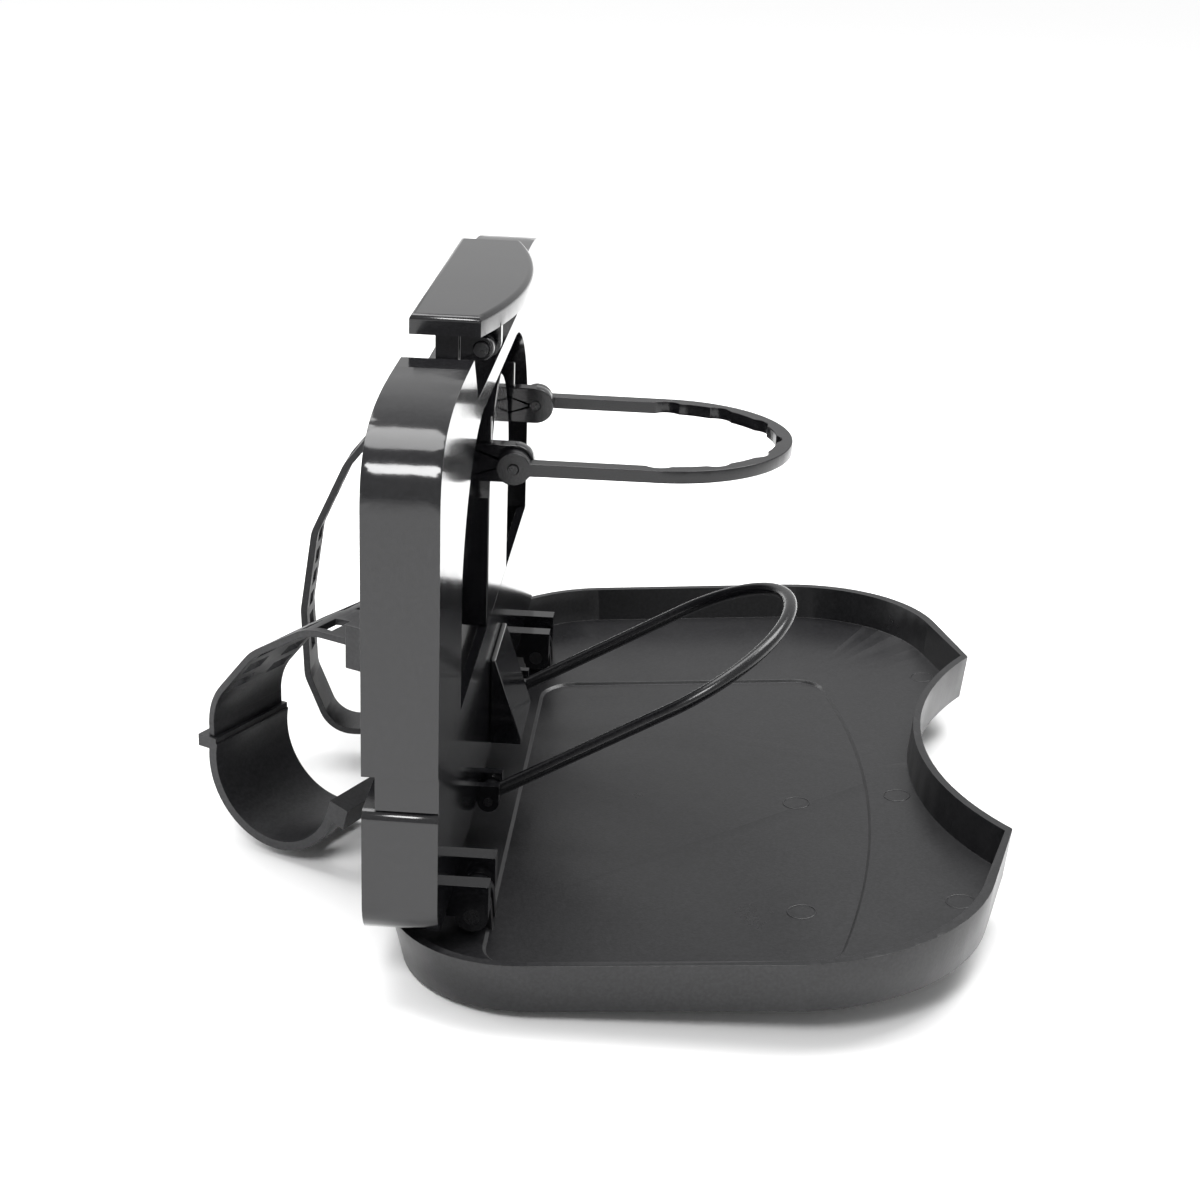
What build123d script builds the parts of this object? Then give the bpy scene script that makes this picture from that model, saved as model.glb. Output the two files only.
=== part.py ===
"""Folding seat-back tray with a flip-out cup ring, a cup cradle and two fixing straps.

Frame: +X across the panel, +Y towards the seat behind it, +Z up. Millimetres.
The front of the upright panel is the plane y = 0, and the tray opens towards -Y.
"""
from build123d import *
import os
from math import cos, radians, sin, sqrt

# Driving dimensions
PANEL_W = 285.0          # width of the upright panel
PANEL_D = 21.0           # its depth, front to back
WALL = 3.0               # moulded wall thickness
SHOULDER_Z = 167.5       # top of the two shoulders
SADDLE_Z = 153.0         # top of the frame between the shoulders
FRAME_Z = 69.0           # lower edge of the arched frame
BAND_Z = (19.0, 58.5)    # lower housing, bottom and top
NECK_IN = 3.5            # how far the neck between them steps in
RECESS_Y = 9.0           # depth of the recessed face behind the rim
WINDOW_W = 190.0         # width of the recess inside the rim
COLUMN_W = 56.0          # raised column between the two recesses
TRAY_W = 300.0           # tray, side to side
TRAY_BACK = 18.0         # rear edge of the tray
TRAY_FRONT = -168.0      # tips of the two front horns
TRAY_H = 16.0            # rim height
TRAY_WALL = 2.4
TRAY_FLOOR = 3.6
TRAY_TILT = 4.5          # the open tray slopes up towards its front
CORNER_R = 45.0          # rear corners of the tray
HORN_X = 68.0            # half the distance between the horns
NOTCH_DEEP = 22.0        # depth of the round notch between them
HINGE_Y, HINGE_Z = -6.0, 11.0
HINGE_X = 100.0          # centre of each tray hinge
PIN_R = 2.5
LUG_R = 4.8              # round end of a hinge lug or ear
RUNNING = 0.05           # radial clearance of a pin in a turning part
RING_Y, RING_Z = -8.5, 126.0
RING_R = 39.0            # cup ring, centreline
RING_REACH = 83.0        # pivot to the ring's far end, centreline
RING_BAR = (5.0, 4.0)    # width and height of the ring's bar
CRADLE_Y, CRADLE_Z = -3.5, 17.5
CRADLE_R = 43.0
CRADLE_REACH = 108.0
CRADLE_ROD = 2.2         # rod radius
CRADLE_LIFT = 30.0       # angle of the open cradle above level
CAP_W = 116.0            # handle, side to side
CAP_Z = (170.5, 176.5)
CAP_BULGE = 9.0          # how far the handle's front edge swells forward
ROD_Y, ROD_Z, ROD_R = 0.5, 165.5, 2.2
LUG_X = 41.0             # where the handle's lugs take its rod
STRAP_T = 2.2
WIDE_STRAP = 34.0
SLIM_STRAP = 14.0
STRAP_SKEW = 27.0        # the wide strap leaves the panel at this angle
HOOK_R = 24.0

half = PANEL_W / 2


def block(x, y, z):
    """A box from three (low, high) pairs."""
    size = [b - a for a, b in (x, y, z)]
    centre = [(a + b) / 2 for a, b in (x, y, z)]
    return Pos(*centre) * Box(*size)


def rod(x0, x1, y, z, r):
    """A cylinder along X."""
    return Pos((x0 + x1) / 2, y, z) * Rot(0, 90, 0) * Cylinder(r, x1 - x0)


def front_slab(outline, y0, y1):
    """Extrudes an XZ outline from y0 to y1."""
    face = make_face(Plane.XZ.offset(-y0) * outline)
    return extrude(face, y1 - y0, dir=(0, 1, 0))


def loop_path(radius, reach):
    """A hairpin in plan: two parallel legs and a round end, towards -Y."""
    bend = radius - reach
    side = Line((-radius, 0), (-radius, bend))
    tip = ThreePointArc((-radius, bend), (0, -reach), (radius, bend))
    return Curve() + [side, tip, Line((radius, bend), (radius, 0))]


def frame_outline(inset=0.0):
    """The arched frame: two shoulders with a saddle between them."""
    w, top, saddle = half - inset, SHOULDER_Z - inset, SADDLE_Z - inset
    bend = top - 24
    points = [(-62 - inset, saddle), (-73 - inset * 0.4, top), (-84, top)]
    lines = [Line((0, saddle), points[0]), Line(points[0], points[1]), Line(points[1], points[2])]
    lines += [Bezier(points[2], (-120, top), (-w, top - 2), (-w, bend))]
    lines += [Line((-w, bend), (-w, FRAME_Z)), Line((-w, FRAME_Z), (0, FRAME_Z))]
    left = Curve() + lines
    return left + mirror(left, Plane.YZ)


def window_outline(grow=0.0):
    """The arched recess inside the rim."""
    w, top, foot = WINDOW_W / 2 + grow, 146 + grow, FRAME_Z - grow
    lines = [Line((-w, foot), (-w, 110)), ThreePointArc((-w, 110), (-w + 19, 136 + grow), (-48, top))]
    lines += [Line((-48, top), (0, top)), Line((0, foot), (-w, foot))]
    left = Curve() + lines
    return left + mirror(left, Plane.YZ)


def panel_frame():
    """A shell open at the back, with a lip round the recess."""
    shell = front_slab(frame_outline(), 0, PANEL_D)
    core = front_slab(frame_outline(WALL), WALL, PANEL_D + 1)
    core -= front_slab(window_outline(WALL), 0, PANEL_D + 2)
    core -= block((-half, half), (0, PANEL_D + 2), (0, FRAME_Z + WALL))
    return shell - core - front_slab(window_outline(), -1, PANEL_D + 1)


def recessed_panel():
    """The plate behind the recess, and the band of it behind the neck."""
    return front_slab(window_outline(), RECESS_Y, RECESS_Y + WALL)


def cup_column():
    """The raised column that carries the cup ring, open at the back."""
    w = COLUMN_W / 2
    tip = 145.0
    lines = [Line((-w, FRAME_Z), (-w, 112)), ThreePointArc((-w, 112), (-w * 0.72, 132), (0, tip))]
    lines += [Line((0, FRAME_Z), (-w, FRAME_Z))]
    left = Curve() + lines
    body = front_slab(left + mirror(left, Plane.YZ), 0, RECESS_Y)
    hollow = block((-w + WALL, w - WALL), (WALL, RECESS_Y + 1), (FRAME_Z + WALL, 112))
    return body - hollow


def lower_housing():
    """The band across the bottom, its neck, and the lugs for the tray's pins."""
    low, high = BAND_Z
    band = block((-half, half), (0, PANEL_D), (low, high))
    band = fillet(band.edges().filter_by(Axis.Y).group_by(Axis.Z)[0], 11)
    band = fillet(band.edges().filter_by(Axis.Y).group_by(Axis.Z)[-1], 3)
    band -= block((-half + WALL, half - WALL), (WALL, PANEL_D + 1), (low + 12, high - WALL))
    neck = block((-half + 1.5, half - 1.5), (0, PANEL_D - NECK_IN), (high, FRAME_Z))
    neck -= block((-half + 5, half - 5), (WALL, PANEL_D), (high - 1, FRAME_Z + 1))
    body = band + neck
    for side in (-1, 1):
        for middle in (HINGE_X - 9, HINGE_X + 9):
            x = side * middle
            body += block((x - 3, x + 3), (HINGE_Y - LUG_R, 1.5), (HINGE_Z, low + 2))
            body += rod(x - 3, x + 3, HINGE_Y, HINGE_Z, LUG_R)
        for x in (side * (CRADLE_R - 5.2), side * (CRADLE_R + 5.2)):
            body += block((x - 1.5, x + 1.5), (CRADLE_Y - 3.4, 1.5), (CRADLE_Z, low + 4))
            body += rod(x - 1.5, x + 1.5, CRADLE_Y, CRADLE_Z, 3.4)
    for side in (-1, 1):
        body -= rod(side * HINGE_X - 15, side * HINGE_X + 15, HINGE_Y, HINGE_Z, PIN_R)
        body -= rod(side * CRADLE_R - 8, side * CRADLE_R + 8, CRADLE_Y, CRADLE_Z, 1.5)
    return body


def tray_outline(inset=0.0):
    """Plan of the tray: round rear corners, swept front corners, horns and a notch."""
    w, back = TRAY_W / 2 - inset, TRAY_BACK - inset
    r = CORNER_R - inset
    front = TRAY_FRONT + inset
    horn = HORN_X + inset * 0.6
    notch = TRAY_FRONT + NOTCH_DEEP + inset
    k = r * (1 - sqrt(0.5))
    lines = [Line((0, back), (-w + r, back))]
    lines += [ThreePointArc((-w + r, back), (-w + k, back - k), (-w, back - r))]
    lines += [Line((-w, back - r), (-w, front + 62))]
    lines += [ThreePointArc((-w, front + 62), (-w + 15, front + 26), (-w + 43, front + 9))]
    lines += [Line((-w + 43, front + 9), (-horn, front))]
    left = Curve() + lines
    notch_arc = ThreePointArc((-horn, front), (0, notch), (horn, front))
    return left + mirror(left, Plane.YZ) + notch_arc


def tray():
    """The dish, modelled level with its ears, then tilted about the line under the panel."""
    dish = extrude(make_face(tray_outline(3.0)), TRAY_H, taper=-9)
    dish &= extrude(make_face(tray_outline()), TRAY_H)
    inside = Pos(0, 0, TRAY_FLOOR) * make_face(tray_outline(2.5 + TRAY_WALL))
    dish -= extrude(inside, TRAY_H, taper=-9)
    rows = [(-127, -11), (79, -11), (79, -112), (-24, -126), (-127, -112)]
    edge = Curve() + [Line(rows[0], rows[1]), Line(rows[1], rows[2]), ThreePointArc(*rows[2:]), Line(rows[4], rows[0])]
    field = make_face(edge)
    field = fillet(field.vertices(), 11)
    dish -= extrude(Pos(0, 0, TRAY_FLOOR - 0.9) * field, 5, taper=-45)
    tilt = radians(TRAY_TILT)
    y = HINGE_Y * cos(tilt) - HINGE_Z * sin(tilt)
    z = HINGE_Y * sin(tilt) + HINGE_Z * cos(tilt)
    for side in (-1, 1):
        for middle in (HINGE_X - 4, HINGE_X + 4):
            x = side * middle
            dish += block((x - 1.8, x + 1.8), (y - LUG_R, y + LUG_R), (TRAY_FLOOR - 1, z))
            dish += rod(x - 1.8, x + 1.8, y, z, LUG_R)
        dish -= rod(side * HINGE_X - 8, side * HINGE_X + 8, y, z, PIN_R + RUNNING)
    return Rot(-TRAY_TILT, 0, 0) * dish


def hinge_pin(side):
    return rod(side * HINGE_X - 12, side * HINGE_X + 12, HINGE_Y, HINGE_Z, PIN_R)


def cup_ring():
    """A hairpin bar with shallow finger scallops on its inside, and a hub on each leg."""
    width, height = RING_BAR
    bar = extrude(trace(loop_path(RING_R, RING_REACH), width), height / 2, both=True)
    for step in range(7):
        angle = radians(180 + 30 * step)
        r = RING_R - 6.3
        bump = Pos(r * cos(angle), RING_R - RING_REACH + r * sin(angle)) * Cylinder(5.4, height)
        bar -= bump
    hub = rod(-RING_R - width / 2, RING_R + width / 2, 0, 0, 5.2)
    hub -= block((-RING_R + width / 2, RING_R - width / 2), (-9, 9), (-9, 9))
    bar += hub
    bar -= rod(-RING_R - 5, RING_R + 5, 0, 0, 1.5 + RUNNING)
    return Pos(0, RING_Y, RING_Z) * bar


def ring_ear(side):
    """The bracket beside each leg of the ring, on the face of the recessed panel."""
    x0, x1 = sorted((side * 31.0, side * 36.0))
    ear = block((x0, x1), (RING_Y, RECESS_Y), (RING_Z - 6, RING_Z + 6))
    ear += rod(x0, x1, RING_Y, RING_Z, 6)
    rib0, rib1 = sorted((side * 32.5, side * 34.5))
    ear += block((rib0, rib1), (-1, RECESS_Y), (RING_Z + 5, RING_Z + 14))
    return ear - rod(x0 - 1, x1 + 1, RING_Y, RING_Z, 1.5)


def ring_pin(side):
    x0, x1 = sorted((side * 31.0, side * (RING_R + 3.2)))
    return rod(x0, x1, RING_Y, RING_Z, 1.5)


def cup_cradle():
    """The bent rod under the cup, modelled level, then lifted about its pivot."""
    path = loop_path(CRADLE_R, CRADLE_REACH)
    section = Plane((-CRADLE_R, 0, 0), z_dir=(0, -1, 0)) * Circle(CRADLE_ROD)
    bar = sweep(section, path=path)
    for side in (-1, 1):
        bar += rod(side * CRADLE_R - 3.2, side * CRADLE_R + 3.2, 0, 0, 3.6)
        bar -= rod(side * CRADLE_R - 4, side * CRADLE_R + 4, 0, 0, 1.5 + RUNNING)
    return Pos(0, CRADLE_Y, CRADLE_Z) * Rot(-CRADLE_LIFT, 0, 0) * bar


def cradle_pin(side):
    return rod(side * CRADLE_R - 7, side * CRADLE_R + 7, CRADLE_Y, CRADLE_Z, 1.5)


def catch_wedge():
    """The wedge under the column that the stowed loops lie round."""
    low, high = 23.0, 53.0
    corners = [(0, high), (0, low), (-10.5, low), (-10.5, low + 2), (-1.5, high)]
    return extrude(make_face(Plane.YZ * Polyline(*corners, close=True)), 17, both=True)


def handle_cap():
    """The grip: a plate whose front edge swells forward, with a turned-down rim."""
    low, high = CAP_Z
    w = CAP_W / 2
    lines = [Line((-w, 0), (-w, PANEL_D)), Line((-w, PANEL_D), (w, PANEL_D)), Line((w, PANEL_D), (w, 0))]
    lines += [ThreePointArc((w, 0), (0, -CAP_BULGE), (-w, 0))]
    cap = extrude(Pos(0, 0, low) * make_face(Curve() + lines), high - low)
    cap = fillet(cap.edges().group_by(Axis.Z)[-1], 1.8)
    cap -= block((-w + WALL, w - WALL), (WALL, PANEL_D - WALL), (low - 1, high - WALL))
    for x in (-LUG_X, LUG_X):
        cap += block((x - 2, x + 2), (ROD_Y - LUG_R, ROD_Y + LUG_R), (ROD_Z, low + 1))
        cap += rod(x - 2, x + 2, ROD_Y, ROD_Z, LUG_R)
        cap -= rod(x - 3, x + 3, ROD_Y, ROD_Z, ROD_R + RUNNING)
    return cap


def handle_post(side):
    """An upright with a forward arm that holds the end of the handle's rod."""
    x = side * (CAP_W / 2 - 9)
    post = block((x - 4, x + 4), (7, 14), (SADDLE_Z, CAP_Z[0]))
    post += block((x - 2.5, x + 2.5), (ROD_Y, 8), (ROD_Z - 3.6, ROD_Z + 3.6))
    post += rod(x - 2.5, x + 2.5, ROD_Y, ROD_Z, 3.6)
    return post - rod(x - 5, x + 5, ROD_Y, ROD_Z, ROD_R)


def handle_rod():
    return rod(-CAP_W / 2 + 5, CAP_W / 2 - 5, ROD_Y, ROD_Z, ROD_R)


def handle_screws():
    """One screw up through each post, with its head under the saddle."""
    heads = []
    for side in (-1, 1):
        x = side * (CAP_W / 2 - 9)
        heads.append(Pos(x, 10.5, SADDLE_Z - WALL - 0.4) * Cylinder(3.2, 0.8))
    return Compound(heads)


def strap_band(points, width, thickness, radius):
    """A flat band: a side-view route, thickened and drawn across its width."""
    route = FilletPolyline(*points, radius=radius)
    return route, extrude(trace(route, thickness), width)


def pierced(band, route, width, first, last, count, hole):
    """Cuts a row of rectangular holes through a band."""
    for step in range(count):
        share = first + (last - first) * step / (count - 1)
        at, along = route @ share, route % share
        cutter = Plane(origin=(at.X, at.Y, width / 2), x_dir=(along.X, along.Y, 0), z_dir=(0, 0, 1))
        band -= cutter * Box(hole[0], 10, hole[1])
    return band


def wide_strap_plane():
    """Local frame of the wide strap: x backwards, y up, z across the strap."""
    turn = radians(STRAP_SKEW)
    origin = (-80, PANEL_D + 1.2, 0)
    return Plane(origin=origin, x_dir=(sin(turn), cos(turn), 0), z_dir=(cos(turn), -sin(turn), 0))


HOOK_U, HOOK_V = 46.0, 27.5
SOCKET_TOP = 34.0


def wide_strap():
    end = HOOK_U + HOOK_R + 1.0
    points = [(15.5, 79), (32, 79), (54, 66), (end, 46), (end, SOCKET_TOP)]
    route, band = strap_band(points, WIDE_STRAP, STRAP_T, 20)
    band = pierced(band, route, WIDE_STRAP / 2 - 2, 0.15, 0.75, 6, (5.5, 9))
    band = pierced(band, route, WIDE_STRAP * 1.5 + 2, 0.15, 0.75, 6, (5.5, 9))
    return wide_strap_plane() * band


def strap_hook():
    """The open clip on the end of the wide strap, with a slotted end bar."""
    start, finish = radians(12), radians(-165)
    middle = (start + finish) / 2
    spot = lambda a, r=HOOK_R: (HOOK_U + r * cos(a), HOOK_V + r * sin(a))
    arc = ThreePointArc(spot(start), spot(middle), spot(finish))
    body = extrude(trace(arc, 3.0), WIDE_STRAP + 2)
    socket = Pos(HOOK_U + HOOK_R + 2.1, SOCKET_TOP - 2) * Rectangle(7.2, 4)
    body += extrude(socket, WIDE_STRAP + 2)
    bar = Pos(*spot(finish, HOOK_R + 2.1)) * Rot(0, 0, 15) * Rectangle(7, 7)
    body += extrude(bar, WIDE_STRAP + 2)
    slot_at = spot(radians(-140))
    slot = Pos(slot_at[0], slot_at[1], WIDE_STRAP / 2 + 1) * Rot(0, 0, -50) * Box(20, 5, WIDE_STRAP - 12)
    body -= slot
    return wide_strap_plane() * Pos(0, 0, -1) * body


def wide_anchor():
    """The block on the panel's back that the wide strap leaves from."""
    turn = wide_strap_plane()
    grip = turn * block((-40, 15.5), (72, 86), (-3, WIDE_STRAP + 3))
    return grip & block((-94, 200), (RECESS_Y + WALL, PANEL_D + 60), (60, 120))


def slim_strap():
    foot = PANEL_D + 3
    points = [(foot, 128), (36, 128), (52, 108), (63, 84), (67, 56)]
    points += [(66, 32), (58, 12), (42, 12), (36, 26), (foot, 26)]
    route, band = strap_band(points, SLIM_STRAP, STRAP_T, 11)
    band = pierced(band, route, SLIM_STRAP, 0.1, 0.6, 12, (5, 6))
    return Plane(origin=(10, 0, 0), x_dir=(0, 1, 0), z_dir=(1, 0, 0)) * band


def slim_anchor(z, y):
    """A pad that ends just behind the panel, standing on the face at y."""
    return block((7, 27), (y, PANEL_D + 3), (z - 7, z + 7))


def panel_screws():
    """Four pan-head screws that hold the recessed panel to the frame, from behind."""
    spots = [(x, z) for x in (-60, 60) for z in (94, 132)]
    back = RECESS_Y + WALL + 1.2
    return Compound([Pos(x, back, z) * Rot(90, 0, 0) * Cylinder(3.4, 2.4) for x, z in spots])


pieces = {
    "panel_frame": panel_frame(),
    "recessed_panel": recessed_panel(),
    "cup_column": cup_column(),
    "lower_housing": lower_housing(),
    "catch_wedge": catch_wedge(),
    "handle_cap": handle_cap(),
    "handle_screws": handle_screws(),
    "handle_rod": handle_rod(),
    "tray": tray(),
    "cup_ring": cup_ring(),
    "cup_cradle": cup_cradle(),
    "panel_screws": panel_screws(),
    "wide_strap": wide_strap(),
    "strap_hook": strap_hook(),
    "wide_strap_anchor": wide_anchor(),
    "slim_strap": slim_strap(),
    "slim_strap_anchor_top": slim_anchor(128, RECESS_Y + WALL),
    "slim_strap_anchor_bottom": slim_anchor(26, PANEL_D),
}
for name, side in (("left", -1), ("right", 1)):
    pieces[f"handle_post_{name}"] = handle_post(side)
    pieces[f"tray_hinge_pin_{name}"] = hinge_pin(side)
    pieces[f"ring_ear_{name}"] = ring_ear(side)
    pieces[f"ring_pin_{name}"] = ring_pin(side)
    pieces[f"cradle_pin_{name}"] = cradle_pin(side)

os.makedirs("parts", exist_ok=True)
for name, solid in pieces.items():
    export_step(solid, f"parts/{name}.step")
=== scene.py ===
"""Looks for the folding seat-back tray: bevelled mouldings, black plastics, studio light and camera."""
import math

import bmesh
import bpy
from mathutils import Matrix, Vector


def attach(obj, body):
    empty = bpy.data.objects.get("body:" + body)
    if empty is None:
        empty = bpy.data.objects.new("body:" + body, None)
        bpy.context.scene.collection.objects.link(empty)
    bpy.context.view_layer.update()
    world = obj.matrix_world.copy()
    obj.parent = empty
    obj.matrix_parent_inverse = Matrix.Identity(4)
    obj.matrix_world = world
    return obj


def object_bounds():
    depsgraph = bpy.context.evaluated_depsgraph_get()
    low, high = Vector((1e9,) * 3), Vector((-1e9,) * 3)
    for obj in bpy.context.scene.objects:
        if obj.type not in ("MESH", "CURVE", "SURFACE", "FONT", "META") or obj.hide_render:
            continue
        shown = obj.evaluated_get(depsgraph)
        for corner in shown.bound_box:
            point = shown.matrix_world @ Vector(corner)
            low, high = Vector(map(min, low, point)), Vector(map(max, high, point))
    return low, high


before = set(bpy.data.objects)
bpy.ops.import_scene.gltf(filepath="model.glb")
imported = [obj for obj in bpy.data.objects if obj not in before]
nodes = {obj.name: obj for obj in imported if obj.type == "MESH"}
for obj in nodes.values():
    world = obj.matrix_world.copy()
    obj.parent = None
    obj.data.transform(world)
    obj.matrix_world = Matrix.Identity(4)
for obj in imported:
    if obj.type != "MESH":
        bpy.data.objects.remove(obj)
cad_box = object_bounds()

MM = 0.001
TRAY_TILT = math.radians(4.5)      # slope of the open tray
TRAY_FLOOR = 3.6 * MM
FLOOR_GAP = 0.2 * MM               # between the lowest point of the part and the studio floor
WELD_GAP = 0.002 * MM
BEVEL_FROM = math.radians(32)      # edges sharper than this are rounded
MARK_RADIUS = 4.2 * MM
MARK_BEAD = 0.28 * MM
WORLD_LIGHT = 0.6

# Camera: eye point in metres, and its heading, pitch and roll in degrees
EYE = Vector((-0.649, -0.068, 0.316))
HEADING, PITCH, ROLL = -2.98, -20.77, 2.12
LENS = 63.0


def make_camera():
    """The camera, aimed by heading, pitch and roll, with no shift."""
    heading, pitch, roll = (math.radians(a) for a in (HEADING, PITCH, ROLL))
    ahead = Vector((
        math.cos(heading) * math.cos(pitch),
        -math.sin(heading) * math.cos(pitch),
        math.sin(pitch),
    ))
    level = Vector((-math.sin(heading), -math.cos(heading), 0))
    upright = level.cross(ahead)
    right = level * math.cos(roll) + upright * math.sin(roll)
    up = upright * math.cos(roll) - level * math.sin(roll)
    data = bpy.data.cameras.new("camera")
    data.lens, data.sensor_width = LENS, 36.0
    data.clip_start, data.clip_end = 0.01, 100
    camera = bpy.data.objects.new("camera", data)
    bpy.context.collection.objects.link(camera)
    camera.matrix_world = Matrix((
        (right.x, up.x, -ahead.x, EYE.x),
        (right.y, up.y, -ahead.y, EYE.y),
        (right.z, up.z, -ahead.z, EYE.z),
        (0, 0, 0, 1),
    ))
    bpy.context.scene.camera = camera


def add(tree, kind, **inputs):
    """Adds a node and sets its sockets and properties by name."""
    node = tree.nodes.new(kind)
    for key, value in inputs.items():
        if key in node.inputs:
            node.inputs[key].default_value = value
        else:
            setattr(node, key, value)
    return node


def plastic(name, colour, rough, spread, grain_size, grain_depth, wave_depth=0.0, coat=0.0):
    """Moulded plastic: uneven gloss, faint specks, a fine grain and, if asked for, slow sink-mark waves."""
    mat = bpy.data.materials.new(name)
    mat.use_nodes = True
    tree = mat.node_tree
    shader = tree.nodes["Principled BSDF"]
    shader.inputs["Base Color"].default_value = (*colour, 1)
    shader.inputs["IOR"].default_value = 1.5
    shader.inputs["Coat Weight"].default_value = coat
    shader.inputs["Coat Roughness"].default_value = 0.08
    place = add(tree, "ShaderNodeTexCoord")

    smears = add(tree, "ShaderNodeTexNoise", Scale=38.0, Detail=6.0, Roughness=0.62)
    tree.links.new(place.outputs["Object"], smears.inputs["Vector"])
    gloss = add(tree, "ShaderNodeMapRange")
    gloss.inputs["From Min"].default_value = 0.3
    gloss.inputs["From Max"].default_value = 0.75
    gloss.inputs["To Min"].default_value = rough - spread
    gloss.inputs["To Max"].default_value = rough + spread
    tree.links.new(smears.outputs["Fac"], gloss.inputs["Value"])
    tree.links.new(gloss.outputs["Result"], shader.inputs["Roughness"])

    dust = add(tree, "ShaderNodeTexNoise", Scale=900.0, Detail=2.0)
    tree.links.new(place.outputs["Object"], dust.inputs["Vector"])
    tone = add(tree, "ShaderNodeValToRGB")
    tone.color_ramp.elements[0].position, tone.color_ramp.elements[1].position = 0.35, 0.8
    tone.color_ramp.elements[0].color = (*[c * 0.8 for c in colour], 1)
    tone.color_ramp.elements[1].color = (*[c * 1.5 + 0.004 for c in colour], 1)
    tree.links.new(dust.outputs["Fac"], tone.inputs["Fac"])
    tree.links.new(tone.outputs["Color"], shader.inputs["Base Color"])

    grain = add(tree, "ShaderNodeTexVoronoi", Scale=1 / grain_size)
    tree.links.new(place.outputs["Object"], grain.inputs["Vector"])
    bump = add(tree, "ShaderNodeBump", Strength=1.0, Distance=grain_depth)
    tree.links.new(grain.outputs["Distance"], bump.inputs["Height"])
    if wave_depth:
        waves = add(tree, "ShaderNodeTexNoise", Scale=16.0, Detail=1.0)
        tree.links.new(place.outputs["Object"], waves.inputs["Vector"])
        slow = add(tree, "ShaderNodeBump", Strength=1.0, Distance=wave_depth)
        tree.links.new(waves.outputs["Fac"], slow.inputs["Height"])
        tree.links.new(slow.outputs["Normal"], bump.inputs["Normal"])
    tree.links.new(bump.outputs["Normal"], shader.inputs["Normal"])
    return mat


def steel():
    """Zinc-plated screw steel with an uneven sheen."""
    mat = bpy.data.materials.new("screw_steel")
    mat.use_nodes = True
    tree = mat.node_tree
    shader = tree.nodes["Principled BSDF"]
    shader.inputs["Metallic"].default_value = 1.0
    shader.inputs["Base Color"].default_value = (0.42, 0.42, 0.44, 1)
    place = add(tree, "ShaderNodeTexCoord")
    noise = add(tree, "ShaderNodeTexNoise", Scale=420.0, Detail=4.0)
    tree.links.new(place.outputs["Object"], noise.inputs["Vector"])
    rough = add(tree, "ShaderNodeMapRange")
    rough.inputs["To Min"].default_value = 0.25
    rough.inputs["To Max"].default_value = 0.5
    tree.links.new(noise.outputs["Fac"], rough.inputs["Value"])
    tree.links.new(rough.outputs["Result"], shader.inputs["Roughness"])
    return mat


def dress(names, material, edge):
    """Gives CAD nodes a material and rounded edges, with the edge width in mm."""
    for name in names:
        piece = nodes[name]
        piece.data.materials.clear()
        piece.data.materials.append(material)
        weld = piece.modifiers.new("weld", "WELD")
        weld.merge_threshold = WELD_GAP
        bevel = piece.modifiers.new("edges", "BEVEL")
        bevel.width, bevel.segments = edge * MM, 3
        bevel.limit_method, bevel.angle_limit = "ANGLE", BEVEL_FROM
        bevel.use_clamp_overlap = True
        bevel.harden_normals = True


def mesh_piece(name, shape, material, body):
    """Makes a smooth-shaded piece that rides on a body."""
    mesh = bpy.data.meshes.new(name)
    shape.to_mesh(mesh)
    shape.free()
    for face in mesh.polygons:
        face.use_smooth = True
    mesh.materials.append(material)
    piece = bpy.data.objects.new(name, mesh)
    bpy.context.collection.objects.link(piece)
    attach(piece, body)
    return piece


def ring_bead(shape, centre, radius, thick):
    """A thin raised circle, half sunk in the tray floor and sloped with it."""
    around, across = 40, 8
    rows = []
    for i in range(around):
        a = math.tau * i / around
        row = []
        for j in range(across):
            b = math.tau * j / across
            r = radius + thick * math.cos(b)
            spot = Vector((r * math.cos(a), r * math.sin(a), thick * 0.5 * math.sin(b)))
            spot.rotate(Matrix.Rotation(-TRAY_TILT, 3, "X"))
            row.append(shape.verts.new(centre + spot))
        rows.append(row)
    for i in range(around):
        for j in range(across):
            k, m = (i + 1) % around, (j + 1) % across
            shape.faces.new((rows[i][j], rows[k][j], rows[k][m], rows[i][m]))


def tray_point(x, y, height):
    """Turns a point on the level tray to where the tray's slope puts it."""
    spot = Vector((x, y, height))
    spot.rotate(Matrix.Rotation(-TRAY_TILT, 3, "X"))
    return spot


def ejector_marks(material):
    """The round witness marks that the mould's ejector pins leave on the tray floor."""
    shape = bmesh.new()
    # Place on the tray in mm, and the floor's height there, which is lower in the sunk field
    spots = [(-23, -103, -0.9), (-20, -136, 0), (-92, -150, 0), (80, -152, 0), (-96, -103, -0.9)]
    for x, y, rise in spots:
        centre = tray_point(x * MM, y * MM, TRAY_FLOOR + rise * MM)
        ring_bead(shape, centre, MARK_RADIUS, MARK_BEAD)
    return mesh_piece("ejector_marks", shape, material, "tray")


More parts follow.
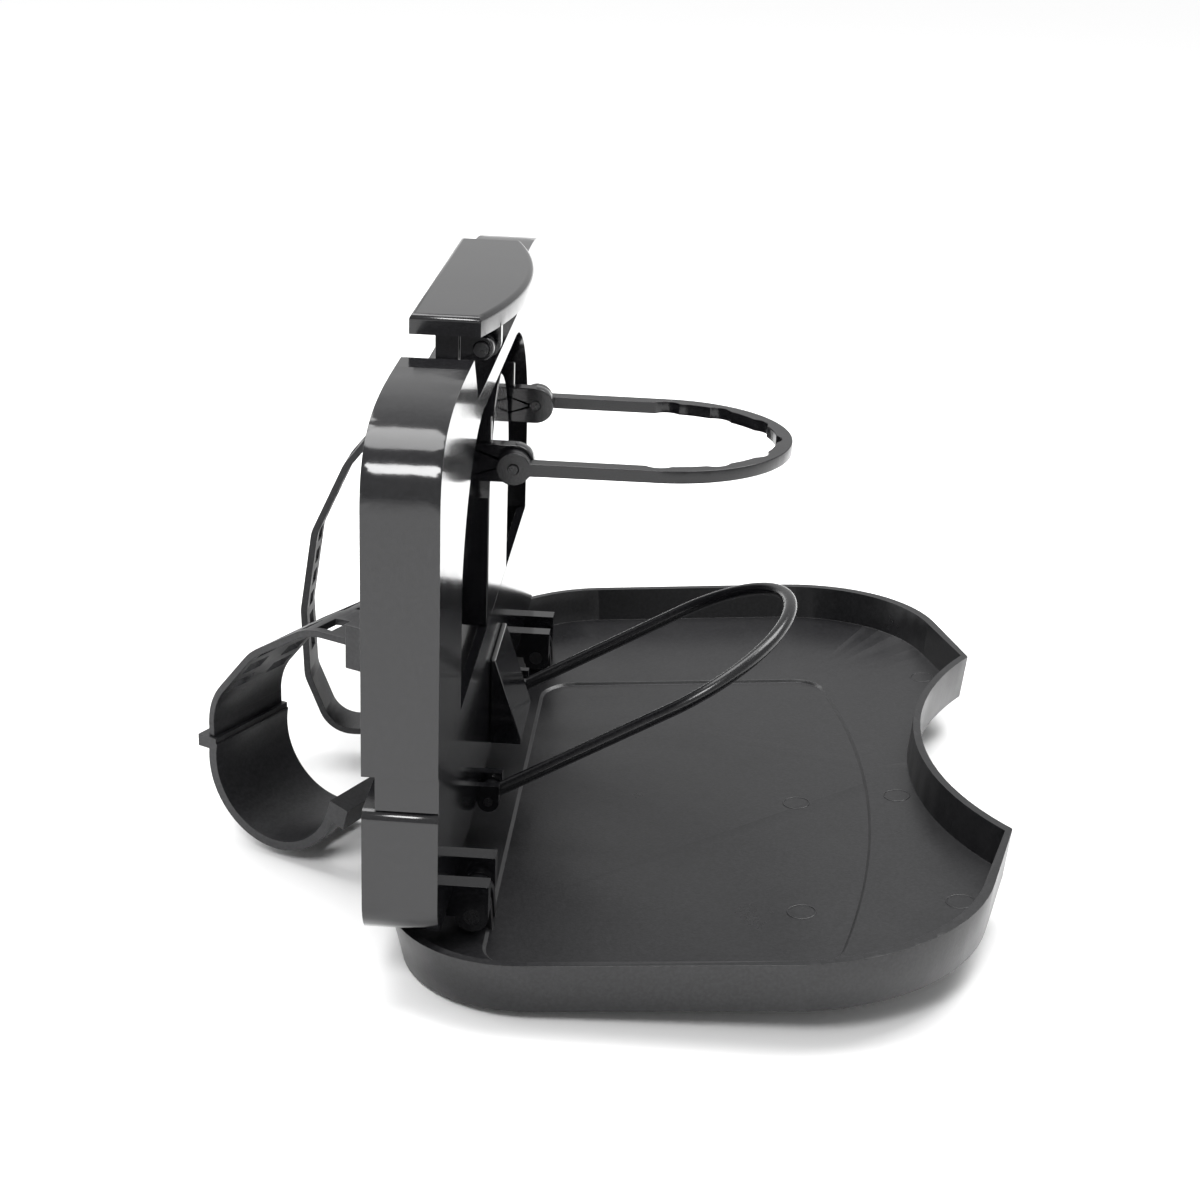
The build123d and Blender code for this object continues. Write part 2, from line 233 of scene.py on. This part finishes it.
def lights():
    """An even white world, three soft area lamps and a broad sun."""
    world = bpy.data.worlds.new("studio")
    bpy.context.scene.world = world
    world.use_nodes = True
    world.node_tree.nodes["Background"].inputs["Color"].default_value = (1, 1, 1, 1)
    world.node_tree.nodes["Background"].inputs["Strength"].default_value = WORLD_LIGHT
    # Name, place, target, size in metres and power in watts
    specs = [
        ("key", (0.35, -0.55, 1.2), (0, -0.05, 0.02), 0.7, 14.0),
        ("side", (-0.9, 0.1, 1.0), (-0.14, 0.01, 0.14), 0.35, 7.0),
        ("rear", (0.7, 0.9, 0.9), (0, 0, 0.1), 0.9, 8.0),
    ]
    for name, at, target, size, power in specs:
        data = bpy.data.lights.new(name, "AREA")
        data.shape, data.size, data.energy = "SQUARE", size, power
        lamp = bpy.data.objects.new(name, data)
        bpy.context.collection.objects.link(lamp)
        lamp.location = at
        lamp.rotation_mode = "QUATERNION"
        lamp.rotation_quaternion = (Vector(target) - Vector(at)).to_track_quat("-Z", "Y")
    sun = bpy.data.lights.new("sun", "SUN")
    sun.energy, sun.angle = 1.5, math.radians(35)
    lamp = bpy.data.objects.new("sun", sun)
    bpy.context.collection.objects.link(lamp)
    lamp.rotation_euler = (math.radians(-12), math.radians(14), 0)


def floor():
    """The pale studio floor, which isn't part of the object."""
    bpy.ops.mesh.primitive_plane_add(size=60, location=(0, 0, cad_box[0][2] - FLOOR_GAP))
    plane = bpy.context.object
    plane.name = "floor"
    mat = bpy.data.materials.new("floor_white")
    mat.use_nodes = True
    shader = mat.node_tree.nodes["Principled BSDF"]
    shader.inputs["Base Color"].default_value = (0.93, 0.93, 0.93, 1)
    shader.inputs["Roughness"].default_value = 0.9
    shader.inputs["Specular IOR Level"].default_value = 0.1
    plane.data.materials.append(mat)


make_camera()
lights()
floor()

INK = (0.0045, 0.0045, 0.0055)
gloss = plastic("panel_gloss", INK, 0.13, 0.04, 0.9 * MM, 0.004 * MM, wave_depth=0.25 * MM, coat=0.25)
satin = plastic("tray_satin", (0.007, 0.007, 0.008), 0.33, 0.06, 0.8 * MM, 0.012 * MM, wave_depth=0.1 * MM)
bar = plastic("loop_semi_gloss", INK, 0.24, 0.05, 0.8 * MM, 0.006 * MM)
webbing = plastic("strap_matte", (0.012, 0.012, 0.0135), 0.46, 0.07, 0.6 * MM, 0.02 * MM)
pin = plastic("pin_black", (0.012, 0.012, 0.013), 0.28, 0.05, 0.7 * MM, 0.006 * MM)

sides = ("left", "right")
dress(["panel_frame", "lower_housing", "handle_cap"], gloss, edge=0.9)
dress(["recessed_panel", "cup_column", "catch_wedge"], gloss, edge=0.6)
dress([f"handle_post_{s}" for s in sides] + [f"ring_ear_{s}" for s in sides], gloss, edge=0.4)
dress(["tray"], satin, edge=0.45)
dress(["cup_ring", "cup_cradle"], bar, edge=0.9)
dress(["wide_strap", "slim_strap", "strap_hook"], webbing, edge=0.35)
dress(["wide_strap_anchor", "slim_strap_anchor_top", "slim_strap_anchor_bottom"], webbing, edge=0.5)
dress(["handle_rod"], pin, edge=0.3)
for kind in ("tray_hinge_pin", "ring_pin", "cradle_pin"):
    dress([f"{kind}_{s}" for s in sides], pin, edge=0.25)
dress(["handle_screws", "panel_screws"], steel(), edge=0.25)
ejector_marks(satin)

scene = bpy.context.scene
scene.view_settings.view_transform = "Standard"
scene.view_settings.look = "None"
